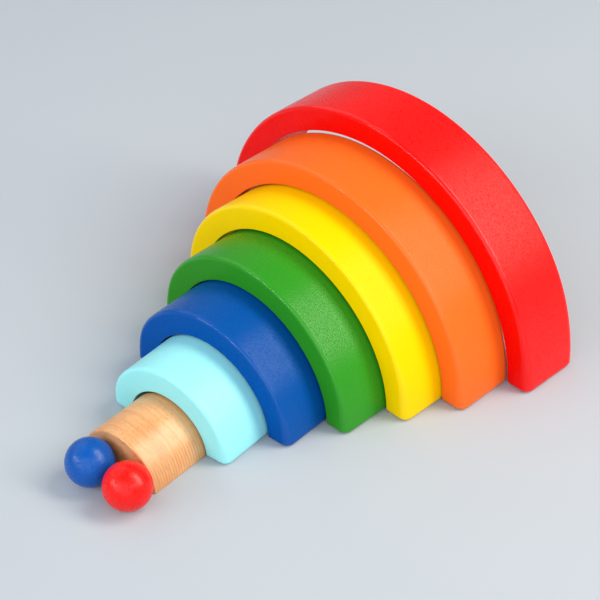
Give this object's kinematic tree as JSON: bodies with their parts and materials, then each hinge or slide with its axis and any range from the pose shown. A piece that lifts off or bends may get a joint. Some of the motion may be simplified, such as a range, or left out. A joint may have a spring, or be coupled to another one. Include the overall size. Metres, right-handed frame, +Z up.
{
  "type": "rainbow stacker",
  "caption": "Wooden rainbow stacker: painted half-ring arches that nest over a bare half-round block, pulled out into a tapering row with painted balls in front.",
  "frame": {"origin": "on the floor, half way along the row and in the middle of the red arch's width", "axes": "+Z up, the faces of the outer arches look along Y, and the row runs out from the red arch towards -Y"},
  "size_m": [0.2708, 0.2958, 0.1354],
  "materials": {
    "red_painted_wood": "satin water-based paint, the wood's pores just showing",
    "orange_painted_wood": "satin water-based paint, the wood's pores just showing",
    "yellow_painted_wood": "satin water-based paint, the wood's pores just showing",
    "green_painted_wood": "satin water-based paint, the wood's pores just showing",
    "blue_painted_wood": "satin water-based paint, the wood's pores just showing",
    "aqua_painted_wood": "satin water-based paint, the wood's pores just showing",
    "bare_beech": "sanded and oiled, grain showing",
    "blue_painted_ball": "satin water-based paint, the wood's pores just showing",
    "red_painted_ball": "satin water-based paint, the wood's pores just showing"
  },
  "bodies": {
    "arch_red": {"arch_red": "red_painted_wood"},
    "arch_orange": {"arch_orange": "orange_painted_wood"},
    "arch_yellow": {"arch_yellow": "yellow_painted_wood"},
    "arch_green": {"arch_green": "green_painted_wood"},
    "arch_blue": {"arch_blue": "blue_painted_wood"},
    "arch_aqua": {"arch_aqua": "aqua_painted_wood"},
    "half_round_block": {"half_round_block": "bare_beech"},
    "ball_blue": {"ball_blue": "blue_painted_ball"},
    "ball_red": {"ball_red": "red_painted_ball"}
  },
  "joints": [
    {"name": "aqua_slide", "type": "slide", "parent": "half_round_block", "child": "arch_aqua", "axis": [0.1097, -0.994, 0], "range_m": [-0.0121, 0.0419]},
    {"name": "blue_slide", "type": "slide", "parent": "arch_aqua", "child": "arch_blue", "axis": [0.0739, -0.9973, 0], "range_m": [-0.0169, 0.0371]},
    {"name": "green_slide", "type": "slide", "parent": "arch_blue", "child": "arch_green", "axis": [0.0122, -0.9999, 0], "range_m": [-0.0178, 0.0362]},
    {"name": "yellow_slide", "type": "slide", "parent": "arch_green", "child": "arch_yellow", "axis": [0, -1, 0], "range_m": [-0.0192, 0.0348]},
    {"name": "orange_slide", "type": "slide", "parent": "arch_yellow", "child": "arch_orange", "axis": [0.0144, -0.9999, 0], "range_m": [-0.0244, 0.0296]},
    {"name": "red_slide", "type": "slide", "parent": "arch_orange", "child": "arch_red", "axis": [0, -1, 0], "range_m": [-0.0123, 0.0417]},
    {"name": "ball_blue_roll", "type": "slide", "parent": "half_round_block", "child": "ball_blue", "axis": [0.0897, -0.996, 0], "range_m": [0, 0.12]},
    {"name": "ball_red_roll", "type": "slide", "parent": "half_round_block", "child": "ball_red", "axis": [0.0897, -0.996, 0], "range_m": [0, 0.12]}
  ]
}
